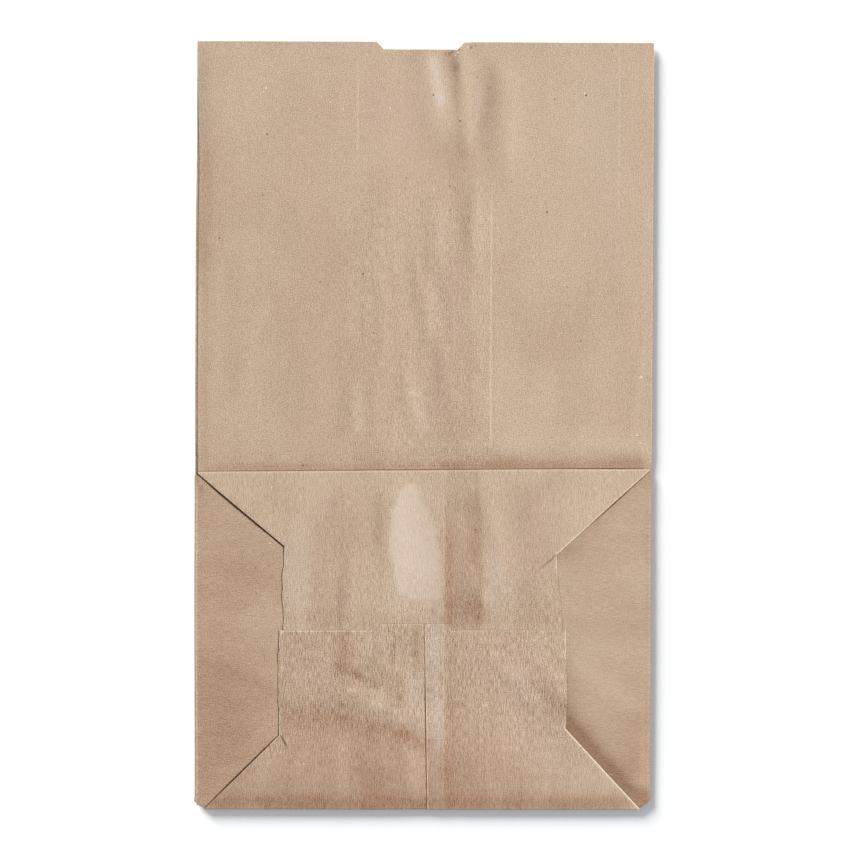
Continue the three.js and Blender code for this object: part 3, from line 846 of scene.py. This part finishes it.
def side_lines(x, v):
    side = side_of(x)
    lower_off, upper_off = slant_offs(x, v)
    slit_off = abs(x) - tongue_edge(side, v)
    # the dark line is painted shade beside the slanting edges and cut edges that lie over the side
    # flap
    under = min(lower_off, upper_off, slit_off)
    if under == upper_off:
        along = UPPER[side].place(abs(x), v)[0]
        thick = stretch(along, 8, UPPER[side].span + 3, 6)
        middle = hill(abs(x), 89, 12)
        dark = 1.0 if side < 0 else 0.50 + 0.42 * middle
        width = 0.32 + 0.24 * thick if side < 0 else 0.36 + 0.36 * middle
    elif under == lower_off:
        along = LOWER[side].place(abs(x), v)[0]
        thick = stretch(along, 8, LOWER[side].span + 3, 6)
        dark, width = (0.64 + 0.24 * thick, 0.34 + 0.20 * thick) if side < 0 else (0.20, 0.30)
    else:
        uneven = clamp(0.50 + 1.5 * cloud(0, v, 50, 5, 51) + 0.25 * hill(v, 40, 9))
        dark, width = (0.60 * uneven, 0.34) if side < 0 else (0.26, 0.30)
    fuzz, grain = {-1: (0.72, 1.24), 1: (0.60, 0.88)}[side]
    # a pale line beside the folded edge, which begins a little way off the slanting ones
    edge = abs(HALF_WIDTH - 0.95 - abs(x))
    start, pale = {-1: (3.0, 0.30), 1: (5.0, 0.15)}[side]
    pale *= ease(start, start + 1, min(lower_off, upper_off))
    return (under, dark, width, fuzz), (edge, pale, grain)


def no_lines(x, v):
    return (FAR, 0.0, 0.3, 1.0), (FAR, 0.0, 1.0)


# The plies


def climb(x):
    return mix(0, PASTE_STEP, (x - SEAM_EDGE + SEAM_RAMP) / (SEAM_CLEAR - SEAM_EDGE + SEAM_RAMP))


def lap(v):
    return mix(0, PASTE_STEP, (v - OVERLAP_START) / OVERLAP_RAMP)


def over_seam(x):
    return mix(PASTE_STEP, 0, (x - SEAM_END) / SEAM_RAMP)


def leaning(level):
    return lambda x, v: level + tilt(v)


def flap_height(x, v):
    return FLAP - sag(x, FLAP_SAG) * ease(-20, 45, v) + tilt(v)


back_left = Ply(lambda x, v: BACK + climb(x), False, BLANK["back left"], coarse=8)
back_right = Ply(always(BACK), False, BLANK["back right"], coarse=8)
gusset_back = Ply(always(GUSSET_BACK), True, BLANK["gusset back"], coarse=8)
gusset_front = Ply(
    always(GUSSET_FRONT), False, BLANK["gusset front"], shift=front_shift, coarse=8
)
front_wall = Ply(
    lambda x, v: FRONT - sag(x, FRONT_SAG),
    True,
    BLANK["front"],
    front_relief,
    front_shift,
    (front_marks, front_lines),
    covered=DEPTH - 8,
)
tucked_front = Ply(
    lambda x, v: TUCKED_FRONT - sag(x, FRONT_SAG) + tilt(v),
    False,
    BLANK["tucked front"],
    coarse=8,
)
tucked_gusset = Ply(leaning(TUCKED_GUSSET), True, BLANK["tucked gusset"], coarse=8)
end_panel = Ply(leaning(END_PANEL), False, BLANK["end panel"], coarse=8)
side_flap = Ply(
    leaning(SIDE_FLAP), True, BLANK["side flap"], side_relief, look=(side_marks, side_lines)
)
corner_strip = Ply(leaning(CORNER_STRIP), False, blank_strip, overlap_relief)
upper_flap = Ply(
    flap_height, True, BLANK["upper flap"], overlap_relief, upper_shift, (upper_marks, upper_lines)
)
lower_left = Ply(
    lambda x, v: flap_height(x, v) + lap(v),
    True,
    BLANK["lower left"],
    overlap_relief,
    lower_shift,
    (lower_marks, lower_left_lines),
)
lower_right = Ply(
    lambda x, v: flap_height(x, v) + lap(v) + over_seam(x),
    True,
    BLANK["lower right"],
    overlap_relief,
    lower_shift,
    (lower_marks, lower_right_lines),
)
for ply in (tucked_front, tucked_gusset, end_panel, side_flap, corner_strip, upper_flap):
    ply.bundled = True

sheet = Sheet()


def mouth(x):
    return cut_edge(x, LENGTH, NOTCH, -1)


def blunt(x, corner, side_v):
    """v of a straight edge whose last stretch turns along the blunt corner"""
    corner_x, axis_v = corner
    return mix(axis_v, side_v, (abs(x) - corner_x) / (SIDE_X - corner_x))


def bottom_edge(x):
    return blunt(x, LOWER[side_of(x)].start, LOWER_SIDE_V[side_of(x)])


def top_edge(x):
    return blunt(x, UPPER[side_of(x)].start, UPPER_SIDE_V)


# Back wall, with the long seam
sheet.ply(back_left, within(-SIDE_X, SEAM_END), bottom_edge, mouth)
sheet.ply(back_right, within(SEAM_EDGE, SIDE_X), bottom_edge, mouth)

# Front wall, its hidden fold and the part that is tucked back up
across = within(-SIDE_X, SIDE_X)
sheet.ply(front_wall, across, always(MIDDLE_V), mouth)
sheet.ply(tucked_front, across, always(MIDDLE_V), top_edge)
sheet.fold([(x, MIDDLE_V) for x in across], front_wall, tucked_front, (0, -1), True)

for side in (-1, 1):
    # Gusset, its tucked triangle and the end panel
    gusset_xs = [side * x for x in sorted(abs(x) for x in STATIONS_X if side * x >= CREASE_X - NEAR)]
    tip = (CREASE_X, MIDDLE_V)
    down = line(tip, (SIDE_X, LOWER_SIDE_V[side]))
    rise = line(tip, (SIDE_X, UPPER_SIDE_V))

    def low_edge(x, down=down):
        return down(abs(x))

    def high_edge(x, rise=rise):
        return rise(abs(x))

    sheet.ply(gusset_back, gusset_xs, low_edge, always(LENGTH))
    sheet.ply(gusset_front, gusset_xs, always(MIDDLE_V), always(LENGTH))
    sheet.ply(tucked_gusset, gusset_xs, always(MIDDLE_V), high_edge)
    sheet.ply(end_panel, gusset_xs, low_edge, high_edge)
    edge_x, crease_x = side * SIDE_X, side * CREASE_X
    low_v = LOWER_SIDE_V[side]
    back = back_left if side < 0 else back_right
    sheet.fold(upright(edge_x, low_v, LENGTH), back, gusset_back, (side, 0), False)
    sheet.fold(upright(edge_x, MIDDLE_V, LENGTH), gusset_front, front_wall, (side, 0), False)
    tucked = upright(edge_x, MIDDLE_V, UPPER_SIDE_V)
    sheet.fold(tucked, tucked_front, tucked_gusset, (side, 0), False)
    sheet.fold(upright(edge_x, low_v, UPPER_SIDE_V), end_panel, side_flap, (side, 0), False)
    crease = [(crease_x, v) for v in column(MIDDLE_V, LENGTH, 6)]
    sheet.fold(crease, gusset_back, gusset_front, (-side, 0), True)
    row = [(x, MIDDLE_V) for x in gusset_xs]
    sheet.fold(row, gusset_front, tucked_gusset, (0, -1), False)
    sheet.fold([(x, low_edge(x)) for x in gusset_xs], gusset_back, end_panel, (-side, -1), True)
    sheet.fold([(x, high_edge(x)) for x in gusset_xs], tucked_gusset, end_panel, (-side, 1), True)

    # Side flap and the two strips folded over it
    end_xs = [side * x for x in sorted(abs(x) for x in STATIONS_X if side * x >= FLAP_END_X - NEAR)]
    sheet.ply(
        side_flap,
        end_xs,
        lambda x, corner=LOWER[side].join, side_v=low_v: blunt(x, corner, side_v),
        lambda x, corner=UPPER[side].join: blunt(x, corner, UPPER_SIDE_V),
    )
    for edge, towards_fold, flap in (
        (LOWER[side], -1, lower_left if side < 0 else lower_right),
        (UPPER[side], 1, upper_flap),
    ):
        strip_xs = [x for x in end_xs if abs(x) <= edge.join[0] + NEAR]
        fixed = always(edge.join[1])
        ends = (fixed, edge.limit) if towards_fold < 0 else (edge.limit, fixed)
        sheet.ply(corner_strip, strip_xs, *ends)
        row = [(x, edge.join[1]) for x in strip_xs]
        sheet.fold(row, side_flap, corner_strip, (0, towards_fold), True)
        slanting = [(x, edge.at(abs(x))) for x in strip_xs if abs(x) >= edge.end[0] - NEAR]
        sheet.fold(slanting, corner_strip, flap, (side, -towards_fold), False)


def upper_slant(x):
    return UPPER[side_of(x)].limit(x)


def lower_slant(x):
    return LOWER[side_of(x)].limit(x)


# Upper flap and its tongue
upper_xs = within(-UPPER[-1].start[0], UPPER[1].start[0])
upper_tongue = within(-UPPER[-1].end[0], UPPER[1].end[0])
sheet.ply(upper_flap, upper_xs, upper_slant, always(TOP_V))
upper_end = DEPTH - FLAP_END
sheet.ply(upper_flap, upper_tongue, lambda x: cut_edge(x, upper_end, TAB, -1), upper_slant)
sheet.fold([(x, TOP_V) for x in upper_xs], tucked_front, upper_flap, (0, 1), False)

# Lower flap and its tongue, in two parts that overlap at the seam
for flap, back, first, last in (
    (lower_left, back_left, -LOWER[-1].start[0], SEAM_END),
    (lower_right, back_right, SEAM_EDGE, LOWER[1].start[0]),
):
    flap_xs = within(first, last)
    tongue = [x for x in flap_xs if -LOWER[-1].end[0] - NEAR <= x <= LOWER[1].end[0] + NEAR]
    sheet.ply(flap, flap_xs, always(BOTTOM_V), lower_slant)
    sheet.ply(flap, tongue, lower_slant, lambda x: cut_edge(x, FLAP_END, TAB, 1))
    sheet.fold([(x, BOTTOM_V) for x in flap_xs], back, flap, (0, -1), False)


def make_mesh(name):
    """thickens the sheet to a solid, in metres, with the bag's origin under its middle"""
    n = len(sheet.points)
    place = []
    for way in (1, -1):
        for p, normal in zip(sheet.points, sheet.normals):
            q = p + normal * (way * HALF)
            place.append((q.x * MM, (q.y - LENGTH / 2) * MM, q.z * MM))
    edges = {(a, f[(i + 1) % len(f)]) for f in sheet.faces for i, a in enumerate(f)}
    rims = [(b, a, a + n, b + n) for a, b in edges if (b, a) not in edges]
    faces = [tuple(f) for f in sheet.faces]
    faces += [tuple(i + n for i in reversed(f)) for f in sheet.faces]
    mesh = bpy.data.meshes.new(name)
    mesh.from_pydata(place, [], faces + rims)
    kinds = (
        ("blank", "FLOAT_VECTOR", "vector"),
        ("marks", "FLOAT_COLOR", "color"),
        ("contact", "FLOAT_COLOR", "color"),
        ("rim", "FLOAT_VECTOR", "vector"),
    )
    for (title, kind, field), values in zip(kinds, zip(*sheet.looks)):
        attribute = mesh.attributes.new(title, kind, "POINT")
        attribute.data.foreach_set(field, [c for value in values * 2 for c in value])
    mesh.shade_smooth()
    mesh.set_sharp_from_angle(angle=math.radians(50))
    mesh.validate()
    return mesh


bag = bpy.data.objects.new("paper_bag_sheet", make_mesh("paper_bag_sheet"))
bpy.context.scene.collection.objects.link(bag)


# Kraft paper


def srgb(r, g, b):
    def channel(c):
        c /= 255
        return c / 12.92 if c <= 0.04045 else ((c + 0.055) / 1.055) ** 2.4

    return (channel(r), channel(g), channel(b), 1.0)


KRAFT = srgb(204, 179, 155)
CLOUDED = srgb(201, 174, 150)
PATCHED = srgb(195, 169, 144)
# strength and colour of the pinkish, pale, dark and rusty marks, in the order they are laid on; the
# dark and rusty ones include painted shade, and the pale ones include painted highlights
STAINS_SHADE_AND_HIGHLIGHTS = (
    (0.45, srgb(205, 174, 155)),
    (0.62, srgb(221, 203, 186)),
    (0.62, srgb(161, 130, 106)),
    (0.42, srgb(176, 131, 102)),
)
FIBRE_TINT = (0.47, 0.42, 0.36)
# pale torn fibres along cut edges, also laid on as a painted highlight along edges that face the light
TORN_FIBRES_AND_HIGHLIGHT = srgb(240, 224, 202)
# painted shade in the gap beside an edge that lies over a ply: its colour, and its darkest core
GAP_SHADE_EDGE = srgb(100, 60, 25)
GAP_SHADE = srgb(44, 8, 0)
BARK = srgb(84, 58, 44)
BLEACHED = srgb(238, 226, 208)
# tiny specks all over: cells per millimetre, seed, share of the cells left out, radius, colour
DUST = (
    (0.15, 19, 0.62, 0.050, srgb(142, 110, 86)),
    (0.19, 47, 0.62, 0.056, srgb(230, 216, 196)),
)
# specks at (u, v) on the blank: radius, and how dark (+) or pale (-)
SPECKS = (
    (-72.6, 310.3, 0.5, 0.8), (-94.5, 262.4, 0.5, 0.8), (59.8, 327, 0.4, 0.8), (74, 328.9, 0.55, 0.9),
    (73.4, 329.6, 0.5, -0.7), (16.1, 316.7, 0.5, 0.8), (16.4, 317.9, 0.4, -0.6),
    (11.6, 286.8, 0.45, 0.8), (11.7, 275.7, 0.4, 0.7), (56.3, 275, 0.5, 0.9), (-28.2, 246.1, 0.5, 0.8),
    (-23, 219, 0.5, 0.7), (-48, 242.3, 0.45, 0.7), (-73.5, 185.6, 0.35, 0.6), (-90.9, 178.7, 0.4, 0.6),
    (23.9, -27.4, 0.5, 0.7), (-55.4, 158, 0.55, 0.7), (-37.9, 160.5, 0.45, 0.5),
    (-73.2, 331.5, 0.45, -0.9), (-74.4, 329.6, 0.4, -0.8), (-43.7, 325.2, 0.4, -0.8),
    (-37.7, 322, 0.4, -0.8), (-16.1, 322.5, 0.45, -0.7), (99.9, 199.3, 0.6, -0.8),
    (98.2, 172.6, 0.55, -0.7), (99.6, 168.9, 0.45, -0.7), (50.4, 254.3, 0.4, -0.6),
    (3.7, 328.6, 0.5, 0.7), (23.9, 336.9, 0.45, 0.6), (29, 331.8, 0.35, 0.6), (-8.5, 290.4, 0.4, 0.7),
    (12, 310.7, 0.35, 0.5), (-150.1, -28.2, 0.4, 0.6),
    # the frayed paper at one end of the notch
    (21.5, 351.1, 0.5, 0.55), (20.9, 350.4, 0.55, 0.6), (22.9, 351.7, 0.4, 0.45),
    (19.5, 350.9, 0.5, -0.7), (17, 351.2, 0.45, -0.6), (14.6, 350.3, 0.6, -0.85),
    (15.5, 349.5, 0.4, 0.55), (15.1, 348.3, 0.6, -0.8), (13.8, 347, 0.5, -0.6),
    (12.4, 348.4, 0.55, 0.6), (11.2, 347.7, 0.55, 0.5), (9.4, 347.5, 0.5, 0.45),
)


class Nodes:
    """short calls for building a node tree"""

    def __init__(self, tree):
        tree.nodes.clear()
        self.tree = tree

    def add(self, kind, inputs=None, **settings):
        """a node with its settings, and values or links for its inputs"""
        node = self.tree.nodes.new("ShaderNode" + kind)
        for key, value in settings.items():
            setattr(node, key, value)
        for key, value in (inputs or {}).items():
            self.put(node.inputs[key], value)
        return node

    def put(self, socket, value):
        if isinstance(value, bpy.types.NodeSocket):
            self.tree.links.new(value, socket)
        else:
            socket.default_value = value

    def math(self, operation, *values, clamp=False):
        inputs = dict(enumerate(values))
        return self.add("Math", inputs, operation=operation, use_clamp=clamp).outputs[0]

    def times(self, a, b):
        return self.math("MULTIPLY", a, b)

    def varied(self, field, amount):
        """a noise field moved down to lie around 0, and scaled"""
        return self.times(self.math("SUBTRACT", field, 0.5), amount)

    def scaled(self, vector, scale, offset=(0, 0, 0)):
        inputs = {"Vector": vector, "Scale": scale, "Location": offset}
        return self.add("Mapping", inputs).outputs[0]

    def noise(self, vector, detail=2.0, roughness=0.5, distortion=0.0):
        inputs = {"Vector": vector, "Scale": 1.0, "Detail": detail}
        inputs |= {"Roughness": roughness, "Distortion": distortion}
        return self.add("TexNoise", inputs).outputs["Fac"]

    def ramp(self, value, low, high, to_low=0.0, to_high=1.0):
        inputs = {"Value": value, "From Min": low, "From Max": high}
        inputs |= {"To Min": to_low, "To Max": to_high}
        return self.add("MapRange", inputs, interpolation_type="SMOOTHSTEP").outputs[0]

    def mix(self, factor, a, b, blend="MIX"):
        inputs = {"Factor": factor, 6: a, 7: b}
        return self.add("Mix", inputs, data_type="RGBA", blend_type=blend).outputs[2]


def new_material(name):
    material = bpy.data.materials.new(name)
    material.use_nodes = True
    return material, Nodes(material.node_tree)


def add_specks(n, blank, base):
    wobble = n.times(n.noise(n.scaled(blank, (2.2, 2.2, 1)), 1.0), 0.35)
    for u, v, radius, tone in SPECKS:
        away = n.add("VectorMath", {0: blank, 1: (u, v, 0)}, operation="DISTANCE")
        distance = n.math("ADD", away.outputs["Value"], wobble)
        spot = n.ramp(distance, radius * 0.7, radius + 0.35, abs(tone), 0.0)
        base = n.mix(spot, base, BARK if tone > 0 else BLEACHED)
    for density, seed, few, radius, colour in DUST:
        place = n.scaled(blank, (density, density * 0.8, 1), (seed, seed * 2, 0))
        cells = n.add("TexVoronoi", {"Vector": place, "Scale": 1.0}, feature="F1")
        picked = n.add("SeparateColor", {0: cells.outputs["Color"]})
        chosen = n.math("GREATER_THAN", picked.outputs[0], few)
        size = n.times(picked.outputs[1], radius)
        outer = n.math("ADD", size, radius * 0.5)
        dot = n.ramp(cells.outputs["Distance"], size, outer, 1.0, 0.0)
        base = n.mix(n.times(n.times(dot, chosen), 0.7), base, colour)
    return base


def kraft():
    material, n = new_material("kraft_paper")

    def split(name):
        source = n.add("Attribute", attribute_name=name)
        parts = n.add("SeparateXYZ", {0: source.outputs["Vector"]})
        return *parts.outputs, source.outputs["Alpha"]

    blank = n.add("Attribute", attribute_name="blank").outputs["Vector"]
    dark, pale, rust, pink = split("marks")
    under, shade_line_depth, line_width, fuzz = split("contact")
    inwards, pale_fibre_highlight_line, speckle, _ = split("rim")

    # the blank is in millimetres, and its fibres run along its second axis
    fibres = n.noise(n.scaled(blank, (2.1, 0.30, 1)), 2.0, 0.6, 0.15)
    threads = n.noise(n.scaled(blank, (0.55, 0.035, 1), (13, 5, 0)), 2.0, 0.5)
    grain = n.noise(n.scaled(blank, (2.3, 1.9, 1), (3, 41, 0)), 1.5, 0.6)
    patches = n.noise(n.scaled(blank, (0.055, 0.030, 1), (21, 2, 0)), 2.5, 0.55, 0.4)
    clouds = n.noise(n.scaled(blank, (0.016, 0.011, 1), (5, 77, 0)), 2.0, 0.5, 0.3)

    base = n.mix(n.ramp(clouds, 0.36, 0.64), KRAFT, CLOUDED)
    base = n.mix(n.ramp(patches, 0.38, 0.68, 0.0, 0.38), base, PATCHED)
    uneven = n.ramp(patches, 0.30, 0.70, 0.75, 1.25)
    for amount, (strength, colour) in zip((pink, pale, dark, rust), STAINS_SHADE_AND_HIGHLIGHTS):
        shown = n.math("MULTIPLY", n.times(amount, strength), uneven, clamp=True)
        base = n.mix(shown, base, colour)

    # light and dark fibres
    long_fibres = n.math("ADD", n.varied(fibres, 0.95), n.varied(threads, 0.20))
    flecks = n.varied(grain, 1.10)
    weave = n.math("ADD", n.times(long_fibres, fuzz), n.times(flecks, speckle))
    tint = n.add("CombineXYZ", {i: n.times(weave, share) for i, share in enumerate(FIBRE_TINT)})
    base = n.mix(1.0, base, tint.outputs[0], "ADD")
    base = add_specks(n, blank, base)

    # pale fibres along edges, with a painted highlight where the edges face the light, and painted
    # shade: the dark gap beside an edge that lies over the ply
    torn = n.ramp(fibres, 0.30, 0.62, 0.55, 1.1)
    along_edge = n.ramp(inwards, 0.28, 0.62, 1.0, 0.0)
    rim = n.math("MULTIPLY", along_edge, n.times(pale_fibre_highlight_line, torn), clamp=True)
    base = n.mix(rim, base, TORN_FIBRES_AND_HIGHLIGHT)
    width = n.times(line_width, n.ramp(grain, 0.3, 0.7, 0.75, 1.25))
    gap = n.ramp(under, n.times(width, 0.7), n.times(width, 1.3), 1.0, 0.0)
    above = n.math("GREATER_THAN", under, -0.6)
    gap = n.math("MULTIPLY", n.times(gap, above), shade_line_depth, clamp=True)
    base = n.mix(gap, base, GAP_SHADE_EDGE)
    base = n.mix(n.ramp(gap, 0.8, 1.0), base, GAP_SHADE)

    relief = n.math("ADD", fibres, grain)
    bump = n.add("Bump", {"Strength": n.times(fuzz, 0.6), "Distance": 0.0003, "Height": relief})
    surface = {
        "Base Color": base,
        "Roughness": n.ramp(fibres, 0.3, 0.7, 0.72, 0.88),
        "Specular IOR Level": n.times(n.math("SUBTRACT", 1.0, gap), 0.25),
        "Normal": bump.outputs[0],
    }
    n.add("OutputMaterial", {0: n.add("BsdfPrincipled", surface).outputs[0]})
    return material


bag.data.materials.append(kraft())
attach(bag, "root")
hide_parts("paper_bag")


# Table, light and camera


def seen_directly(n):
    """1 for rays of the camera, and for those that mirror or glass sends on"""
    path = n.add("LightPath")
    seen = n.math("MAXIMUM", path.outputs["Is Camera Ray"], path.outputs["Is Glossy Ray"])
    return n.math("MAXIMUM", seen, path.outputs["Is Transmission Ray"])


def white_table():
    """a dull white, with a faint glow that only the camera sees"""
    material, n = new_material("white_table")
    surface = n.add("BsdfDiffuse", {"Color": (0.84, 0.84, 0.84, 1)})
    strength = n.times(seen_directly(n), 0.15)
    glow = n.add("Emission", {"Color": (0.90, 1.0, 1.10, 1), "Strength": strength})
    both_shaders = n.add("AddShader", {0: surface.outputs[0], 1: glow.outputs[0]})
    n.add("OutputMaterial", {0: both_shaders.outputs[0]})
    return material


TABLE_HALF = 4.0
TABLE_Z = -0.0018  # a little below the bag, which gives its shadow the right width
corners = [(a * TABLE_HALF, b * TABLE_HALF, 0) for a, b in ((-1, -1), (1, -1), (1, 1), (-1, 1))]
table_mesh = bpy.data.meshes.new("table")
table_mesh.from_pydata(corners, [], [(0, 1, 2, 3)])
table = bpy.data.objects.new("table", table_mesh)
table.location.z = TABLE_Z
table.data.materials.append(white_table())
bpy.context.scene.collection.objects.link(table)

world = bpy.data.worlds.new("studio")
bpy.context.scene.world = world
world.use_nodes = True
w = Nodes(world.node_tree)
sky = w.add("Background", {"Color": (1.0, 0.985, 0.965, 1), "Strength": 0.36})
white = w.add("Background", {"Strength": 1.0})
pick = w.add("MixShader", {0: seen_directly(w), 1: sky.outputs[0], 2: white.outputs[0]})
w.add("OutputWorld", {0: pick.outputs[0]})


def lamp(name, lit, azimuth, elevation, level, angle, colour=(1, 1, 1)):
    """a sun whose light on level ground gives level of full white, and which lights one thing"""
    data = bpy.data.lights.new(name, "SUN")
    data.energy = level * math.pi / math.sin(math.radians(elevation))
    data.angle = math.radians(angle)
    data.color = colour
    obj = bpy.data.objects.new(name, data)
    a, e = math.radians(azimuth), math.radians(elevation)
    towards = Vector((math.cos(a) * math.cos(e), math.sin(a) * math.cos(e), math.sin(e)))
    obj.rotation_euler = towards.to_track_quat("Z", "Y").to_euler()
    obj.location = towards
    bpy.context.scene.collection.objects.link(obj)
    group = bpy.data.collections.new(name + "_lights")
    group.objects.link(lit)
    obj.light_linking.receiver_collection = group


cool_white = (0.965, 0.985, 1.0)
lamp("key_light", bag, azimuth=28, elevation=36, level=0.66, angle=9, colour=cool_white)
lamp("table_light", table, azimuth=125.5, elevation=20.6, level=0.74, angle=27)

PICTURE_PIXELS = 850
PIXEL = 0.46  # millimetres to a pixel of the picture
BAG_TOP = 0.0015  # metres, the height at which that holds
shown = PICTURE_PIXELS * PIXEL * MM
camera_data = bpy.data.cameras.new("camera")
camera_data.lens = 85
camera_data.sensor_width = 36
camera = bpy.data.objects.new("camera", camera_data)
height = shown * camera_data.lens / camera_data.sensor_width + BAG_TOP
camera.location = (0.00064, 0.00028, height)  # not quite over the middle
camera.rotation_euler = (0, 0, math.radians(0.26))  # and not quite straight
bpy.context.scene.collection.objects.link(camera)
bpy.context.scene.camera = camera
bpy.context.scene.view_settings.view_transform = "Standard"
